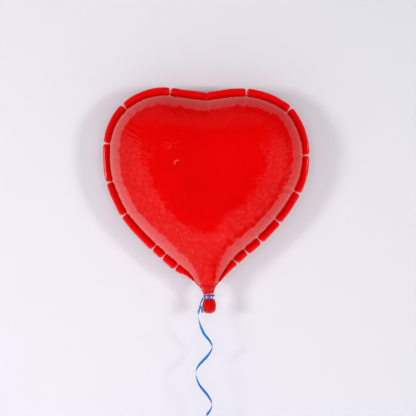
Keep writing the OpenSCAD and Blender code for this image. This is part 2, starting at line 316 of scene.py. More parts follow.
# the upper turn's cut end stands out in a short stub at the right
STUB_OUT = 2.2
for v in high_turn.data.vertices:
    a = math.atan2(v.co.y - RIM_Y * MM, v.co.x - NECK_X * MM)
    v.co.x += STUB_OUT * MM * math.exp(-((a / 0.22) ** 2))
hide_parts("ribbon_wrap_lower")
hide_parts("ribbon_wrap_upper")
for piece in (low_turn, high_turn):
    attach(piece, "balloon")
    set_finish(piece, "ribbon")

# %% [markdown]
# The lead strand joins the turns, which stay with the neck, to the knot, which swings. It is
# limp.

# %% Lead strand
LEAD_POINTS = [[-9.7, -88.5, -246], [-12.3, -89.5, -250.5], [-14.6, -90, -256], [-15.7, -90, -260.8]]
lead = curve(LEAD_POINTS, 10)
lead_face = np.tile([0.84, -0.56, 0.25], (len(lead), 1))
lead_strip = strip("ribbon_lead_strip", lead, lead_face, np.linspace(4.6, 2.6, len(lead)), 0.35)
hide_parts("ribbon_lead")
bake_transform(lead_strip)
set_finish(lead_strip, "ribbon")

# %% [markdown]
# The knot is a small ball with twisted waves round it, like strands pulled tight. The two cut
# ends open out from its front and widen as they come free of it.

# %% Knot
KNOT = Vector((-15.6, -90, -263))
KNOT_R = 2.35
bm = bmesh.new()
bmesh.ops.create_icosphere(bm, subdivisions=4, radius=KNOT_R)
for v in bm.verts:
    a = math.atan2(v.co.z, v.co.x)
    lean = v.co.y * 1.1 + v.co.z * 0.5
    v.co *= 1 + 0.09 * math.sin(3 * lean + 1.2 * math.sin(a)) - 0.05 * math.cos(2 * a)
    v.co = (v.co + KNOT) * MM
knot = finished("ribbon_knot_twist", bm)
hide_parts("ribbon_knot")
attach(knot, "ribbon_hanging")
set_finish(knot, "ribbon")

# %% Cut ends
ENDS = {
    "left": ([[-15.6, -91, -263], [-16.8, -92.6, -267], [-19.4, -93, -274.9]], [0.1, -1, 0.1]),
    "right": ([[-14.4, -91, -263], [-12.7, -93.2, -267], [-10.8, -93.6, -274.9]], [-0.25, -1, 0.1]),
}
for side, (points, look) in ENDS.items():
    path = curve(points, 10)
    looks = np.tile(look, (len(path), 1))
    tip = strip(f"ribbon_tip_{side}", path, looks, np.linspace(2.6, 4, len(path)), 0.3)
    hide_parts(f"ribbon_end_{side}")
    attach(tip, "ribbon_hanging")
    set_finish(tip, "ribbon")

# %% [markdown]
# ## The seam and the blown-up height
# Each side of the heart is one smooth line from the cleft to the neck. A blown-up film leaves
# its seam almost upright and then flattens off towards the crown, so its height depends on how
# far a point is from the seam. The plain distance would crease along the middle of the heart.
# An average of 1 / r^3 along the seam gives the same distance at the edge with no crease inside.
# The pinches between the pouches are given as lengths along the seam, from the cleft down.

# %% Seam lines
SEAM = {
    "right": [
        [-3, 151], [30, 156], [62, 159], [96, 156], [130, 144], [158, 126], [177, 98],
        [189, 62], [190, 24], [182, -13], [162, -52], [135, -89], [102, -124],
        [70, -151], [49, -171], [30, -197], [17, -220],
    ],
    "left": [
        [-3, 151], [-37, 155], [-74, 160], [-94, 161], [-124, 155], [-153, 140],
        [-174, 120], [-188, 97], [-196, 70], [-198, 38], [-196, 8], [-186, -29],
        [-165, -73], [-137, -108], [-104, -141], [-60, -180], [-38, -197], [-20, -220],
    ],
}
PINCHES = {
    "right": [0, 80, 169, 264, 339, 407, 459, 494, 524, 578],
    "left": [0, 74, 168, 247, 323, 393, 480, 506, 539, 586],
}
seam_line = {side: curve(points, 24) for side, points in SEAM.items()}
seam_run = {side: running(line) for side, line in seam_line.items()}


def seam_at(side, s):
    """The seam's points at these lengths from the cleft, as (x, z)."""
    line, run = seam_line[side], seam_run[side]
    return np.stack([np.interp(s, run, line[:, i]) for i in (0, 1)], axis=-1)


def seam_out(side, s):
    """The direction straight out of the heart at these lengths."""
    end = seam_run[side][-1]
    d = seam_at(side, np.minimum(s + 2, end)) - seam_at(side, np.maximum(s - 2, 0))
    d = d / np.linalg.norm(d, axis=-1)[..., None]
    return np.stack([-d[..., 1], d[..., 0]], axis=-1) * (1 if side == "right" else -1)


# %% [markdown]
# The fence is the seam with the open mouth closed by a long narrow channel, so that the film
# keeps its height into the neck. Below the middle the heart narrows, so its ridge is lower there.

# %% Distance from the seam
fence = np.vstack([
    curve(SEAM["right"], 3), [[11, -240], [10, -300], [-10, -300], [-11, -240]],
    curve(SEAM["left"], 3)[::-1],
])


def seam_distance(points):
    """Smooth distance from the seam, in mm, for points in the seam's plane."""
    step = np.diff(fence, axis=0)
    size = np.maximum(np.linalg.norm(step, axis=1), 0.01)
    u = step / size[:, None]
    rel = fence[None, :-1] - points[:, None]
    start = (rel * u).sum(2)
    stop = start + size
    off = np.maximum(np.abs(rel[..., 0] * u[:, 1] - rel[..., 1] * u[:, 0]), 0.02)
    pull = (stop / np.hypot(stop, off) - start / np.hypot(start, off)) / off**2
    return np.sqrt(2 / pull.sum(1))


# %% Height of the film
CROWN_H = 84.6
crown_distance = seam_distance(np.array([[0.0, 0.0]]))[0]
axis_z = np.arange(-240, 1, 10.0)
axis_distance = seam_distance(np.stack([0 * axis_z, axis_z], axis=1))


def film_height(points):
    """How far the film stands off the seam's plane."""
    part_z = np.minimum(np.interp(points[:, 1], axis_z, axis_distance) / crown_distance, 1)
    part_z = np.where(points[:, 1] < 0, part_z, 1)
    depth = CROWN_H * (1 - (1 - part_z) ** 2.7) ** 1.5
    part = np.minimum(seam_distance(points) / (crown_distance * part_z), 1)
    return depth * (1 - (1 - part) ** 1.75) ** 0.5


mouth = film_height(np.array([[0.0, -219.9]]))[0]
print("distance at the crown", round(crown_distance, 1), "height at the mouth", round(mouth, 1))

# %% [markdown]
# ## Folds
# Film can't stretch, so a blown-up panel has too much edge, and the spare goes into folds. A
# deeper fold starts at each pinch of the rim, and many short, faint ones lie between them. At
# the bottom the whole film gathers into pleats that run down to the tie. All of them are small
# moves of the points, and the random ones are drawn from a fixed seed.

# %% Fold shapes
def fold(s, d, at, deep, wide, reach):
    """One fold that starts at the seam at length `at` and fades inwards."""
    spread = wide + 0.22 * d
    x = (s - at) / spread
    valley = np.exp(-x * x) - 0.55 * np.exp(-((np.abs(x) - 1.7) ** 2) * 1.5)
    return -deep * valley * (d / 5) ** 0.8 * np.exp(-d / reach)


def gather(theta, z):
    """The pleats above the tie: theta runs round the neck, z down to the tie."""
    amount = 0.2 * smooth((-150 - z) / 60) + 0.8 * smooth((-205 - z) / 34)
    pleat = 0.5 * np.abs(np.sin(5.5 * theta + 0.4)) + 0.35 * np.abs(np.sin(9 * theta + 1.7))
    return amount * 1.7 * (pleat - 0.55 + 0.12 * np.sin(23 * theta))


# %% [markdown]
# ## The two panels
# A panel is lofted from the seam in to its crown. The rings lie close together at the seam,
# where the film turns up steeply and folds, and wide apart on the smooth middle. Across the
# open mouth at the bottom the ring runs on as a short line, where the neck takes over.

# %% Outline of a panel
MOUTH_W = 37


def outline():
    """The heart's edge as points, length run, and which of them lie across the open mouth."""
    end_r, end_l = seam_run["right"][-1], seam_run["left"][-1]
    s_right = np.linspace(0, end_r, 345)
    s_left = np.linspace(end_l, 0, 352)[:-1]
    right, left = seam_at("right", s_right), seam_at("left", s_left)
    across = np.linspace(0, 1, 26)[1:-1, None]
    low = right[-1] + (left[0] - right[-1]) * across
    edge = np.vstack([right, low, left])
    s = np.concatenate([s_right, end_r + MOUTH_W * across[:, 0], end_r + MOUTH_W + end_l - s_left])
    open_part = np.zeros(len(edge), bool)
    open_part[len(right):len(right) + len(low)] = True
    return edge, s, open_part


edge, edge_s, in_mouth = outline()
whole_run = seam_run["right"][-1] + MOUTH_W + seam_run["left"][-1]
pinch_s = PINCHES["right"][1:-1] + [whole_run - s for s in PINCHES["left"][1:-1]]
print("edge points", len(edge), "length", round(whole_run, 1), "mm")


# %% Folds of one panel
def neck_angle(x, z, side):
    """Where a point lies round the neck, which the pleats follow."""
    half = 18.5 + np.maximum(z + 220, 0) * 0.95
    return side * np.arccos(np.clip((x + 1.5) / half, -1, 1))


def folds_of(rng):
    """A deep fold at each pinch, one down from the cleft, and many faint ones between."""
    folds = [(s, 1.1 + 0.6 * rng.random(), 2.2 + rng.random(), 12 + 6 * rng.random()) for s in pinch_s]
    folds += [(0, 1.0, 3.5, 20), (whole_run, 1.0, 3.5, 20)]
    for _ in range(150):
        at, deep = rng.random() * whole_run, (rng.random() ** 2) * 0.42
        folds.append((at, deep, 1.2 + 2.2 * rng.random(), 5 + 9 * rng.random()))
    return folds


def panel_ring(t, side, folds, waves):
    """One ring of a panel: t is 1 at the seam and 0 at the crown."""
    flat = edge * t
    # how far the point is from the seam, nearly enough for the folds
    d = np.linalg.norm(edge, axis=1) * (1 - t) * 0.97
    h = film_height(flat) if t > 0 else np.full(len(edge), CROWN_H)
    if t == 1:
        h = np.where(in_mouth, h, 0)
    move = sum(fold(edge_s, d, *f) for f in folds)
    # the folds die out above the mouth, where the pleats take over
    move = np.where(in_mouth, 0, move) * smooth((flat[:, 1] + 215) / 20)
    # long, low waves over the middle of the panel
    soft = sum(np.sin(flat[:, 0] * a + flat[:, 1] * b + c) for a, b, c in waves)
    move = move + 0.1 * soft * smooth((d - 12) / 40) * smooth(t * 6)
    pleats = gather(neck_angle(flat[:, 0], flat[:, 1], side), flat[:, 1])
    move = move + pleats * smooth(d / 6 + in_mouth)
    rise = np.maximum(h + move * smooth(d / 3 + in_mouth), 0) + 0.4
    return np.stack([flat[:, 0], RIM_Y + side * np.minimum(rise, -RIM_Y), flat[:, 1]], axis=1)


# %% [markdown]
# The loft gives an open skin, so its faces are turned outwards at the crown first. Solidify then
# gives it its thickness, inwards.

# %% Panels
def turn_outwards(mesh, side):
    """Points the faces of a panel's skin away from the seam's plane."""
    bm = bmesh.new()
    bm.from_mesh(mesh)
    bmesh.ops.recalc_face_normals(bm, faces=bm.faces)
    crown = max(bm.faces, key=lambda f: f.calc_center_median().y * side)
    if crown.normal.y * side < 0:
        bmesh.ops.reverse_faces(bm, faces=bm.faces)
    bm.to_mesh(mesh)
    bm.free()


def panel(name, node, side, seed):
    rng = np.random.default_rng(seed)
    folds = folds_of(rng)
    waves = [(rng.normal(0, 0.03), rng.normal(0, 0.03), rng.random() * 6.3) for _ in range(9)]
    ts = 1 - np.linspace(0, 1, 63) ** 1.55
    rings = [panel_ring(t, side, folds, waves) for t in ts]
    around = np.append(edge_s, whole_run) * MM
    piece = loft(name, rings, around=around, along=(1 - ts) * 0.2, filled=False)
    turn_outwards(piece.data, side)
    skin = piece.modifiers.new("film", "SOLIDIFY")
    skin.thickness = 0.3 * MM
    skin.offset = -1
    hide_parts(node)
    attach(piece, "balloon")
    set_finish(piece, "film")
    return piece


front = panel("front_film", "front_panel", -1, 11)
back = panel("back_film", "back_panel", 1, 12)

# %% [markdown]
# ## Weld and rim pouches
# The weld is a narrow strip, a little swollen where it was pressed. Outside it the two
# films part again into eighteen little sealed pouches. Each is round in section and swollen in
# its middle, with a shallow furrow along it where the film buckles towards the heart. At its
# ends it is pinched flat, its outer corner is rounded off and short creases run in from the
# pinch, so two pouches touch at the seam and a small notch opens outside.

# %% Weld
WELD = [(-3, 0.3), (-0.6, 0.34), (0.0, 0.42), (0.5, 0.46), (1.0, 0.4), (1.5, 0.3)]
weld_section = np.array(WELD + [(off, -y) for off, y in WELD[::-1]])
rings = []
for side in SEAM:
    stations = np.linspace(0.4, seam_run[side][-1], 340)
    stations = stations[::-1] if side == "right" else stations
    for base, out in zip(seam_at(side, stations), seam_out(side, stations)):
        at = base + weld_section[:, :1] * out
        rings.append(np.stack([at[:, 0], RIM_Y - weld_section[:, 1], at[:, 1]], axis=1))
weld = loft("weld_strip", rings)
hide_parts("seam_weld")
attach(weld, "balloon")
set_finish(weld, "film")


# %% Pouch sizes
def pouch_stations(start, stop):
    """Places along one pouch, closer together at its pinched ends."""
    u = np.linspace(-1, 1, max(16, int((stop - start) / 1.3)))
    return np.sort((start + stop) / 2 + (stop - start) / 2 * np.sign(u) * np.abs(u) ** 0.8)


def quarter_round(to_end, reach):
    """Rises like a quarter circle from 0 at the end to 1 at that reach."""
    return np.sqrt(1 - (1 - np.minimum(to_end / reach, 1)) ** 2)


def pouch_size(s, to_end, out, fade, seed):
    """How wide (out from the seam) and how thick (front to back) a pouch is at each station."""
    full = (12 + 2.5 * np.abs(out[:, 1])) * fade
    wide = full * (0.42 + 0.58 * quarter_round(to_end, 5.5)) * (1 + 0.015 * np.sin(s / 7 + seed))
    puff = 0.1 + 0.9 * quarter_round(to_end, 9)
    thick = 11 * np.sqrt(fade) * puff * (1 + 0.03 * np.sin(s / 11 + 2 * seed))
    return wide, thick


# %% Pouches
LAST = 8


def pouch(name, side, i, seed):
    rng = np.random.default_rng(seed)
    start, stop = PINCHES[side][i] + 0.5, PINCHES[side][i + 1] - 0.5
    s = pouch_stations(start, stop)
    to_end = np.minimum(s - start, stop - s)
    out = seam_out(side, s)
    # the last pouch on each side tapers away into the neck
    fade = 1 - 0.75 * (s - start) / (stop - start) if i == LAST else np.ones(len(s))
    wide, thick = pouch_size(s, to_end, out, fade, seed)
    angle = np.linspace(0, 2 * np.pi, 32, endpoint=False)
    phase, tilt = rng.random(5) * 6.3, rng.normal(0, 0.6, 5)
    rings = []
    for k in range(len(s)):
        # creases that run in from the pinched ends
        near = np.exp(-to_end[k] / 5.5)
        r = 1 + 0.09 * near * np.sin(5 * angle + phase[0] + s[k] * 0.25 * tilt[0])
        r = r + 0.05 * near * np.sin(9 * angle + phase[1])
        # finer creases on the side towards the heart
        inner = smooth(-np.cos(angle) * 1.4 + 0.2)
        crease = np.sin(s[k] * 1.25 + phase[2] + 2.2 * np.sin(angle + phase[3]))
        r = r + 0.026 * inner * crease * smooth(to_end[k] / 4)
        # the furrow, front and back
        groove = np.exp(-(((np.cos(angle) + 0.12) / 0.15) ** 2)) * smooth(to_end[k] / 10)
        r = r - 0.13 * groove * (0.75 + 0.25 * np.sin(s[k] / 5 + phase[4]))
        off = 0.7 + (wide[k] - 0.7) * (0.5 + 0.5 * r * np.cos(angle))
        y = thick[k] / 2 * r * np.sin(angle) * (1 - 0.05 * inner)
        at = seam_at(side, s[k]) + off[:, None] * out[k]
        rings.append(np.stack([at[:, 0], RIM_Y + y, at[:, 1]], axis=1))
    piece = loft(name, rings)
    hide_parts(f"rim_pocket_{side}_{i + 1}")
    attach(piece, "balloon")
    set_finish(piece, "rim_film")
    return piece


pouches = [
    pouch(f"rim_pouch_{side}_{i + 1}", side, i, 20 + i + 10 * (side == "left"))
    for side in ("right", "left") for i in range(9)
]

# %% [markdown]
# ## Neck and tail bulb
# Below the mouth the two films run together into a funnel, and the ribbon gathers it into
# pleats. The end of the tail is trapped air: it has blown up into a small pear with a puckered
# top. The funnel's rings start as the panels' own section, so that the folds run on from them.

# %% Neck
theta = np.linspace(0, 2 * np.pi, 144, endpoint=False)
neck_z = np.concatenate([np.linspace(-214, -220, 5), np.linspace(-221, -242, 22), [-244, -246, -248.3]])
# height, middle in x, half width and half depth
LEVELS = np.array([
    [-249, 1, 9.1, 9.1], [-241, 1, 9.1, 9.1], [-237, 0.8, 10.2, 9.2], [-232, 0.4, 12, 10.4],
    [-226, -0.5, 14.8, 12.4], [-220, -1.5, 18.5, 15], [-214, -2.4, 22.3, 18.2],
])
rings = []
for z in neck_z:
    mid, wide, deep = (np.interp(z, LEVELS[:, 0], LEVELS[:, i]) for i in (1, 2, 3))
    x = mid + wide * np.cos(theta)
    oval = deep * np.sin(theta)
    high = film_height(np.stack([x, np.full_like(x, max(z, -220))], axis=1))
    # from the panels' section at the mouth to an oval at the tie
    like_panel = smooth((z + 231) / 11)
    y = oval * (1 - like_panel) + np.sign(np.sin(theta)) * high * like_panel
    # above the mouth it lies just under the panels, and below it comes level with them
    lift = -0.1 if z > -220 else 0.45 * smooth((z + 234) / 12)
    pleat = gather(np.where(theta > np.pi, theta - 2 * np.pi, theta), z) * (z > -243)
    grow = 1 + (pleat + lift) / np.hypot(wide * np.cos(theta), oval)
    rings.append(np.stack([mid + (x - mid) * grow, RIM_Y + y * grow, np.full_like(x, z)], axis=1))
neck = loft("neck_film", rings)
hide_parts("neck")
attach(neck, "balloon")
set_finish(neck, "film")

# %% [markdown]
# The bulb is an outline spun round its axis. Its top starts right under the tie, where it is
# dented by the same pleats, and the dents fade as it swells.

# %% Tail bulb
BULB_X = 2.3
BULB = [(0.2, -247.9), (8, -247.9), (10.4, -248.4), (12.1, -251), (13.8, -256), (14.5, -261.5),
        (14, -266.5), (12.2, -271.5), (8, -275.4), (3.5, -277), (0, -277.3)]
profile = curve(BULB, 6)
bm = bmesh.new()
verts = [bm.verts.new((max(r, 0), 0, z)) for r, z in profile]
edges = [bm.edges.new(pair) for pair in zip(verts, verts[1:])]
bmesh.ops.spin(
    bm, geom=verts + edges, cent=(0, 0, 0), axis=(0, 0, 1), dvec=(0, 0, 0),
    angle=2 * math.pi, steps=144, use_merge=True, use_duplicate=False,
)
bmesh.ops.remove_doubles(bm, verts=bm.verts, dist=1e-4)
bmesh.ops.holes_fill(bm, edges=[e for e in bm.edges if e.is_boundary], sides=0)
for v in bm.verts:
    a, z = math.atan2(v.co.y, v.co.x), v.co.z
    pucker = math.exp((z + 248) / 5.5)
    dent = 0.07 * pucker * (abs(math.sin(6.5 * a + 0.6)) + 0.6 * abs(math.sin(4 * a)) - 0.9)
    dent += 0.02 * math.sin(2 * a + 0.13 * z) + 0.012 * math.sin(5 * a - 0.4 * z)
    v.co.xy *= 1 + dent - 0.02
    v.co = Vector((v.co.x + BULB_X, v.co.y + RIM_Y, z)) * MM
bmesh.ops.recalc_face_normals(bm, faces=bm.faces)
bulb = finished("tail_bulb_film", bm)
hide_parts("tail_bulb")
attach(bulb, "balloon")
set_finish(bulb, "film")

# %% [markdown]
# ## Materials
# The film is a deep red lacquer with a hard, clear gloss: the colour comes from the base and the
# white comes from reflections, apart from a painted highlight on the kinks and a painted reflection
# near the seam, so a dielectric with a high index does it. Its detail is a slight drift of colour,
# fine streaks that run in from the seam, and a faint orange peel. Every pattern reads Object
# coordinates or the piece's own map.

# %% Node helpers
def new_material(name):
    material = bpy.data.materials.new(name)
    material.use_nodes = True
    tree = material.node_tree
    return material, tree, tree.nodes["Principled BSDF"]


def add(tree, kind, **values):
    """A node with its plain settings and its inputs set by name."""
    node = tree.nodes.new("ShaderNode" + kind)
    for key, value in values.items():
        if key in node.inputs:
            node.inputs[key].default_value = value
        else:
            setattr(node, key, value)
    return node


def stops(node, *places):
    """Sets a colour ramp's stops as (position, colour)."""
    ramp = node.color_ramp
    while len(ramp.elements) < len(places):
        ramp.elements.new(0.5)
    for element, (position, colour) in zip(ramp.elements, places):
        element.position = position
        element.color = (*colour, 1)


def bump(tree, height, distance, strength=1.0, after=None):
    node = add(tree, "Bump", Strength=strength, Distance=distance)
    tree.links.new(height, node.inputs["Height"])
    if after is not None:
        tree.links.new(after.outputs["Normal"], node.inputs["Normal"])
    return node


def ramp(tree, source, low, high, to_low=0.0, to_high=1.0):
    """A smooth step of one value."""
    node = add(tree, "MapRange", interpolation_type="SMOOTHSTEP")
    for name, value in (("From Min", low), ("From Max", high), ("To Min", to_low), ("To Max", to_high)):
        node.inputs[name].default_value = value
    tree.links.new(source, node.inputs["Value"])
    return node.outputs["Result"]


def maths(tree, operation, a, b):
    """A Math node on two sockets or numbers."""
    node = add(tree, "Math", operation=operation)
    for value, socket in zip((a, b), node.inputs):
        if isinstance(value, (int, float)):
            socket.default_value = value
        else:
            tree.links.new(value, socket)
    return node.outputs[0]


# %% [markdown]
# ### One film, three reds
# All the film is made by one function: a drift of colour, an orange peel that roughens the gloss
# a little, and streaks on the piece's own map that fade away from the seam. The pouches are given
# a brighter red, which is painted light, and the gathered neck and bulb a darker one, which is
# painted shade. The bulb is also less glossy, because its small wrinkles blur what it mirrors.

# %% Film
def film_material(name, dark, light, streaks, depth, rough=(0.02, 0.05), ior=1.65):
    material, tree, shader = new_material(name)
    link = tree.links.new
    place = add(tree, "TexCoord")
    drift = add(tree, "TexNoise", Scale=7.0, Detail=3.0)
    link(place.outputs["Object"], drift.inputs["Vector"])
    tint = add(tree, "ValToRGB")
    stops(tint, (0.3, dark), (0.7, light))
    link(drift.outputs["Fac"], tint.inputs["Fac"])
    link(tint.outputs["Color"], shader.inputs["Base Color"])
    peel = add(tree, "TexNoise", Scale=130.0, Detail=1.0)
    link(place.outputs["Object"], peel.inputs["Vector"])
    link(ramp(tree, peel.outputs["Fac"], 0.3, 0.7, *rough), shader.inputs["Roughness"])
    turned = add(tree, "Mapping", Scale=streaks)
    link(place.outputs["UV"], turned.inputs["Vector"])
    lines = add(tree, "TexNoise", Scale=1.0, Detail=2.0, Roughness=0.45)
    link(turned.outputs["Vector"], lines.inputs["Vector"])
    split = add(tree, "SeparateXYZ")
    link(place.outputs["UV"], split.inputs["Vector"])
    near = maths(tree, "MULTIPLY", lines.outputs["Fac"], ramp(tree, split.outputs["Y"], 0.03, 0.12, 1, 0))
    grain = maths(tree, "ADD", near, maths(tree, "MULTIPLY", peel.outputs["Fac"], 0.25))
    skin = bump(tree, grain, depth)
    link(skin.outputs["Normal"], shader.inputs["Normal"])
    shader.inputs["IOR"].default_value = ior
    return material, tree, skin


# one film: the pouches' red is painted lighter (painted light) and the neck's and bulb's red painted
# darker (painted shade)
RED = ((0.72, 0.0003, 0.0006), (0.82, 0.0006, 0.001))
RIM_RED_PAINTED_LIGHTER = ((0.84, 0.0004, 0.0008), (0.94, 0.0008, 0.0014))
TAIL_RED_PAINTED_DARKER = ((0.63, 0.0003, 0.0006), (0.73, 0.0006, 0.001))
_, panel_tree, panel_skin = film_material("red film", *RED, (150, 14, 1), 0.0011)
film_material("red rim film painted lighter", *RIM_RED_PAINTED_LIGHTER, (2.5, 420, 1), 0.0002)
film_material("red neck film painted darker", *TAIL_RED_PAINTED_DARKER, (2.5, 420, 1), 0.0002)
film_material("red tail film painted darker", *TAIL_RED_PAINTED_DARKER, (3, 300, 1), 0.0003, (0.06, 0.12), 1.42)
wearers = {"red film": (front, back, weld), "red rim film painted lighter": pouches, "red neck film painted darker": (neck,),
           "red tail film painted darker": (bulb,)}
for name, pieces in wearers.items():
    for piece in pieces:
        piece.data.materials.append(bpy.data.materials[name])
    print(name, "on", len(pieces), "pieces")

# %% [markdown]
# ### Kinks, a painted highlight and a painted reflection on the panels
# Where film has been folded and unfolded it keeps small kinks. This balloon has one like a crescent
# and two crumpled patches. They are far too small for the mesh, so they are masks on Object
# coordinates, which raise a bump and pale the colour: the paling is a painted highlight. The lower
# part of each panel near the seam is also painted a mottled paler red, a painted reflection.

# %% Kink masks
def on_film(x, z):
    """A point on the front film, in metres."""
    return (x * MM, (RIM_Y - film_height(np.array([[x, z]], float))[0]) * MM, z * MM)


def ring_of(tree, place, centre, size, thick):
    """A small kink, part of a ring round a point on the film: a bump and a painted highlight."""
    gap = add(tree, "VectorMath", operation="DISTANCE")
    gap.inputs[1].default_value = centre
    tree.links.new(place.outputs["Object"], gap.inputs[0])
    off = maths(tree, "ABSOLUTE", maths(tree, "SUBTRACT", gap.outputs["Value"], size), 0)
    split = add(tree, "SeparateXYZ")
    tree.links.new(place.outputs["Object"], split.inputs["Vector"])
    lean = maths(tree, "SUBTRACT", split.outputs["Z"], split.outputs["X"])
    part = ramp(tree, lean, centre[2] - centre[0] - 0.001, centre[2] - centre[0] + 0.003)
    return maths(tree, "MULTIPLY", ramp(tree, off, 0, thick, 1, 0), part)


def crumple(tree, place, centre, reach, scale):
    """A patch of tiny kinks round a point on the film: a bump and a painted highlight."""
    to_unit = dict(Location=[-c / r for c, r in zip(centre, reach)], Scale=[1 / r for r in reach])
    shift = add(tree, "Mapping", **to_unit)
    tree.links.new(place.outputs["Object"], shift.inputs["Vector"])
    size = add(tree, "VectorMath", operation="LENGTH")
    tree.links.new(shift.outputs["Vector"], size.inputs[0])
    kinks = add(tree, "TexNoise", Scale=scale, Detail=2.0)
    tree.links.new(place.outputs["Object"], kinks.inputs["Vector"])
    spots = ramp(tree, kinks.outputs["Fac"], 0.6, 0.74)
    return maths(tree, "MULTIPLY", spots, ramp(tree, size.outputs["Value"], 0.4, 1, 1, 0))


# %% Kinks
tree = panel_tree
shader = tree.nodes["Principled BSDF"]
place = add(tree, "TexCoord")
crescent = ring_of(tree, place, on_film(-60, 22), 0.005, 0.0016)
patch_left = crumple(tree, place, on_film(-72, 57), (0.026, 0.04, 0.011), 420)
patch_right = crumple(tree, place, on_film(108, 50), (0.011, 0.04, 0.014), 500)
kinks = maths(tree, "MAXIMUM", maths(tree, "MAXIMUM", crescent, patch_left), patch_right)
kinked = bump(tree, kinks, 0.0006, 1.0, panel_skin)
tree.links.new(kinked.outputs["Normal"], shader.inputs["Normal"])
print("crescent at", [round(c, 3) for c in on_film(-60, 22)])

# %% Painted reflection and painted kink highlight
cloud = add(tree, "TexNoise", Scale=130.0, Detail=3.0)
tree.links.new(place.outputs["Object"], cloud.inputs["Vector"])
across, height = add(tree, "SeparateXYZ"), add(tree, "SeparateXYZ")
tree.links.new(place.outputs["UV"], across.inputs["Vector"])
tree.links.new(place.outputs["Object"], height.inputs["Vector"])
near_seam = ramp(tree, across.outputs["Y"], 0.1, 0.075)
painted_mottled_reflection = maths(tree, "MULTIPLY", near_seam, ramp(tree, height.outputs["Z"], 0.08, 0.03))
painted_mottled_reflection = maths(tree, "MULTIPLY", painted_mottled_reflection, ramp(tree, cloud.outputs["Fac"], 0.42, 0.7, 0, 0.4))
# the lower panel near the seam is painted a mottled paler red: a painted reflection of the pale patches
# that the film mirrors
mottled_reflection_paint = add(tree, "MixRGB", Color2=(0.84, 0.03, 0.026, 1))
tree.links.new(painted_mottled_reflection, mottled_reflection_paint.inputs["Fac"])
tree.links.new(tree.nodes["Color Ramp"].outputs["Color"], mottled_reflection_paint.inputs["Color1"])
# the kinks pale the red towards pink: a painted highlight on the kinks
painted_kink_highlight = add(tree, "MixRGB", Color2=(0.95, 0.22, 0.2, 1))
tree.links.new(maths(tree, "MULTIPLY", kinks, 0.55), painted_kink_highlight.inputs["Fac"])
tree.links.new(mottled_reflection_paint.outputs[0], painted_kink_highlight.inputs["Color1"])
tree.links.new(painted_kink_highlight.outputs[0], shader.inputs["Base Color"])
print("nodes in the red film", len(tree.nodes))

# %% [markdown]
# ### Ribbon, valve and tie
# The ribbon is a satin blue plastic with fine ribs along its length, which the blade leaves. Its
# ribs come from its own map, so that they follow the strip round every curl. The valve inside is
# a milky film and the coil's tie is paper, with a fine fibre.

# %% Blue ribbon
ribbon_blue, tree, shader = new_material("blue ribbon")
link = tree.links.new
place = add(tree, "TexCoord")
ribs = add(tree, "Mapping", Scale=(46, 30, 1))
link(place.outputs["UV"], ribs.inputs["Vector"])
rib_noise = add(tree, "TexNoise", Scale=1.0, Detail=3.0)
link(ribs.outputs["Vector"], rib_noise.inputs["Vector"])
tint = add(tree, "ValToRGB")
stops(tint, (0.25, (0.0, 0.13, 0.52)), (0.65, (0.001, 0.24, 0.72)))
link(rib_noise.outputs["Fac"], tint.inputs["Fac"])
link(tint.outputs["Color"], shader.inputs["Base Color"])
skin = bump(tree, rib_noise.outputs["Fac"], 0.00006, 0.7)
link(skin.outputs["Normal"], shader.inputs["Normal"])
shader.inputs["Roughness"].default_value = 0.16
shader.inputs["IOR"].default_value = 1.5
ribbon_pieces = [o for o in scene.objects if o.get("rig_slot") == "ribbon"]
for piece in ribbon_pieces:
    piece.data.materials.append(ribbon_blue)
print("blue pieces", [piece.name for piece in ribbon_pieces])


# %% Valve and tie
def plain_sheet(name, low, high, scale, rough):
    """A thin sheet with a fine grain: its colour and its height follow one noise."""
    material, tree, shader = new_material(name)
    place = add(tree, "TexCoord")
    grain = add(tree, "TexNoise", Scale=scale, Detail=4.0)
    tree.links.new(place.outputs["Object"], grain.inputs["Vector"])
    tint = add(tree, "ValToRGB")
    stops(tint, (0.3, low), (0.7, high))
    tree.links.new(grain.outputs["Fac"], tint.inputs["Fac"])
    tree.links.new(tint.outputs["Color"], shader.inputs["Base Color"])
    skin = bump(tree, grain.outputs["Fac"], 0.00005, 0.5)
    tree.links.new(skin.outputs["Normal"], shader.inputs["Normal"])
    shader.inputs["Roughness"].default_value = rough
    return material


milky = plain_sheet("milky valve film", (0.72, 0.73, 0.74), (0.84, 0.85, 0.86), 60, 0.35)
paper = plain_sheet("paper tie", (0.75, 0.74, 0.7), (0.88, 0.87, 0.84), 900, 0.8)
for name, material in (("valve_film_front", milky), ("valve_film_back", milky), ("coil_tie", paper)):
    nodes[name].data.materials.clear()
    nodes[name].data.materials.append(material)

# %% [markdown]
# ## Studio
# The balloon hangs on a pale wall, and a pale floor lies well below it. Both are plain grids. The
# wall is painted lighter at the lower left and darker at the upper right, a painted fall-off of the
# light, and the floor is one even colour. They are clear from behind, so that the back can be
# looked at, and they stay out of mirrored light, because the world below gives what the film
# mirrors. The back film lies on the wall and would tint it red, so light that bounces off walls
# doesn't see it.

# %% Wall and floor
def clear_from_behind(tree, shader):
    """Sends the surface through a mix that is see-through on its back."""
    see_through = add(tree, "BsdfTransparent")
    mix = add(tree, "MixShader")
    side = add(tree, "NewGeometry")
    tree.links.new(side.outputs["Backfacing"], mix.inputs[0])
    tree.links.new(shader.outputs[0], mix.inputs[1])
    tree.links.new(see_through.outputs[0], mix.inputs[2])
    tree.links.new(mix.outputs[0], tree.nodes["Material Output"].inputs["Surface"])


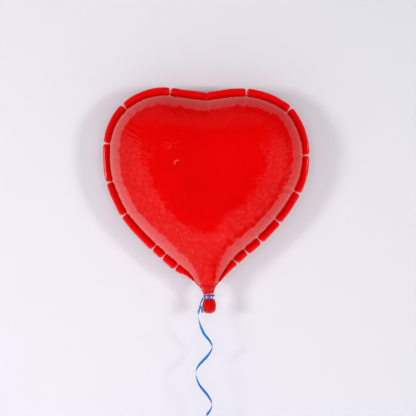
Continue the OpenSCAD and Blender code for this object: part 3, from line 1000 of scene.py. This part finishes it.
def stage_paint_and_painted_falloff(name, low, high):
    material, tree, shader = new_material(name)
    place = add(tree, "TexCoord")
    slope = math.radians(-35)
    shift = add(tree, "Mapping", Location=(0.5, 0.5, 0), Rotation=(0, 0, slope), Scale=(0.9, 0.9, 1))
    tree.links.new(place.outputs["Object"], shift.inputs["Vector"])
    split = add(tree, "SeparateXYZ")
    tree.links.new(shift.outputs["Vector"], split.inputs["Vector"])
    # the colour runs from low at the lower left to high at the upper right: on the wall a painted
    # fall-off of light
    tint = add(tree, "ValToRGB")
    stops(tint, (0.0, low), (1.0, high))
    tree.links.new(split.outputs["X"], tint.inputs["Fac"])
    tree.links.new(tint.outputs["Color"], shader.inputs["Base Color"])
    shader.inputs["Roughness"].default_value = 0.95
    shader.inputs["Specular IOR Level"].default_value = 0.0
    clear_from_behind(tree, shader)
    return material


def sheet_on_stage(name, width, height, turn, location, low, high):
    bm = bmesh.new()
    bmesh.ops.create_grid(bm, x_segments=1, y_segments=1, size=0.5)
    for v in bm.verts:
        v.co = Vector((v.co.x * width, v.co.y * height, 0))
    piece = finished(name, bm, False)
    piece.rotation_euler = turn
    piece.location = location
    piece.data.materials.append(stage_paint_and_painted_falloff(name, low, high))
    piece.visible_glossy = False
    piece.visible_shadow = False


UPRIGHT = (math.radians(90), 0, 0)
FLOOR_GREY = (0.8, 0.79, 0.82)
# the wall is painted lighter at the lower left and darker at the upper right: painted light falling off
# from the lower left
sheet_on_stage("wall", 8, 8, UPRIGHT, (0, 0.001, VIEW_Z), (0.84, 0.82, 0.88), (0.76, 0.75, 0.80))
sheet_on_stage("floor", 8, 6, (0, 0, 0), (0, -2.5, -1.1), FLOOR_GREY, FLOOR_GREY)
back.visible_diffuse = False

# %% [markdown]
# ### Lights
# Two softboxes stand level with the balloon on both sides of the camera and throw its two
# shadows on the wall, and a wide front fill lifts them. Two more behind the wall light the back
# when it is looked at. None of them is mirrored, because a softbox would show as a hard square.

# %% Lights
def softbox(name, location, size, power, aim=(0, -0.06, -0.06), shine=False):
    data = bpy.data.lights.new(name, "AREA")
    data.shape = "SQUARE"
    data.size = size
    data.energy = power
    light = bpy.data.objects.new(name, data)
    light.location = location
    light.rotation_euler = (Vector(aim) - Vector(location)).to_track_quat("-Z", "Y").to_euler()
    scene.collection.objects.link(light)
    light.visible_glossy = shine
    return light


softbox("softbox_left", (-2.06, -2.85, -0.05), 0.65, 33)
softbox("softbox_right", (1.86, -3.0, -0.05), 0.55, 27)
softbox("front_fill", (0, -3.6, 0.0), 1.5, 36)
softbox("rear_left", (-2.2, 2.8, 0.6), 1.2, 40)
softbox("rear_right", (2.2, 2.8, 0.6), 1.2, 40)

# %% [markdown]
# Small bright marks sit on the tie, on three pouches and on the bulb. A lamp that made them would
# also mark the panels, so each has a lamp that is linked to those pieces alone and is only
# mirrored. Its brightness is its power divided by pi and by its area.

# %% Lights that are only mirrored
def mirrored(name, pieces, location, size, power):
    """A light that only these pieces mirror, and that lights nothing."""
    group = bpy.data.collections.new(name)
    for piece in pieces:
        group.objects.link(piece)
    light = softbox(name, location, size, power, aim=(0, -0.06, -0.2), shine=True)
    light.visible_diffuse = False
    light.light_linking.receiver_collection = group


tie_pieces = [low_turn, high_turn, lead_strip, knot]
mirrored("ribbon_left", tie_pieces, (-2.0, -2.5, 0.0), 1.2, 110)
mirrored("ribbon_right", tie_pieces, (2.9, -0.6, 0.0), 1.2, 110)
mirrored("rim_left", pouches[12:13], (-2.1, -2.4, -0.1), 0.5, 22)
mirrored("rim_right", pouches[2:4], (2.1, -2.6, 0.05), 0.5, 18)
mirrored("bulb_left", [bulb], (-1.9, -2.2, -1.7), 0.4, 7)

# %% [markdown]
# ### What the film mirrors
# A glossy dome shows the whole room in small. Its steep edge mirrors the pale wall behind it and
# its middle mirrors the dark room round the camera, so the world is pale behind the balloon and
# dark in front. The dark half has a few pale patches that show as a duller red: on the left, the
# right, at the bottom right, at the bottom and faintly at the top. A noise breaks them up, as
# fine scratches on the film would.

# %% Room in front
world = bpy.data.worlds.new("studio")
scene.world = world
world.use_nodes = True
tree = world.node_tree
tree.nodes.clear()
link = tree.links.new
way = add(tree, "TexCoord")
split = add(tree, "SeparateXYZ")
link(way.outputs["Generated"], split.inputs["Vector"])
x, y, z = (split.outputs[i] for i in range(3))
lean = maths(tree, "ADD", x, maths(tree, "MULTIPLY", z, 0.75))
left = maths(tree, "MULTIPLY", ramp(tree, lean, -0.47, -0.56, 0, 0.22), ramp(tree, z, 0.2, 0.6, 1, 0.35))
slant = maths(tree, "ADD", x, maths(tree, "MULTIPLY", z, -0.3))
low_right = maths(tree, "MULTIPLY", ramp(tree, slant, 0.20, 0.23, 0, 0.17), ramp(tree, z, -0.20, -0.23))
right = maths(tree, "MULTIPLY", ramp(tree, x, 0.48, 0.54, 0, 0.16), ramp(tree, z, 0.5, 0.25))
low = ramp(tree, z, -0.57, -0.68, 0, 0.22)
low_side = ramp(tree, x, -0.01, 0.04, 1.3, 0.2)
low_side = maths(tree, "ADD", low_side, ramp(tree, z, -0.85, -0.78, 0, 2))
low = maths(tree, "MULTIPLY", low, maths(tree, "MINIMUM", low_side, 1.3))
high = ramp(tree, z, 0.5, 0.75, 0, 0.07)
room = left
for patch in (low_right, low, high, right):
    room = maths(tree, "MAXIMUM", room, patch)

# %% Mottle and wall
speckle = add(tree, "TexNoise", Scale=22.0, Detail=1.0)
link(way.outputs["Generated"], speckle.inputs["Vector"])
room = maths(tree, "MULTIPLY", room, ramp(tree, speckle.outputs["Fac"], 0.36, 0.64, 0.15, 1.5))
# on the right a darker ring keeps the patches away from the pale edge
ring = maths(tree, "MAXIMUM", ramp(tree, y, -0.28, -0.42, 0.15, 1), ramp(tree, x, 0.1, -0.1))
room = maths(tree, "ADD", maths(tree, "MULTIPLY", room, ring), 0.008)
behind = ramp(tree, y, -0.015, 0.015)
wall_glow = maths(tree, "ADD", maths(tree, "MULTIPLY", x, -0.27), maths(tree, "MULTIPLY", z, -0.32))
wall_glow = maths(tree, "ADD", wall_glow, 0.72)
mirror = add(tree, "MixRGB")
link(behind, mirror.inputs["Fac"])
link(room, mirror.inputs["Color1"])
link(wall_glow, mirror.inputs["Color2"])

# %% [markdown]
# The room is only for mirrored light. Other light gets a soft even grey from the world, and past
# the edge of the wall the camera sees a pale colour like the wall's.

# %% World
path = add(tree, "LightPath")
seen = add(tree, "MixRGB", Color1=(0.21, 0.213, 0.22, 1))
link(path.outputs["Is Glossy Ray"], seen.inputs["Fac"])
link(mirror.outputs[0], seen.inputs["Color2"])
view_colour = add(tree, "MixRGB", Color2=(0.80, 0.79, 0.84, 1))
link(path.outputs["Is Camera Ray"], view_colour.inputs["Fac"])
link(seen.outputs[0], view_colour.inputs["Color1"])
sky = add(tree, "Background")
link(view_colour.outputs[0], sky.inputs["Color"])
output = add(tree, "OutputWorld")
link(sky.outputs[0], output.inputs["Surface"])
print("lights", len(bpy.data.lights), "world nodes", len(tree.nodes))
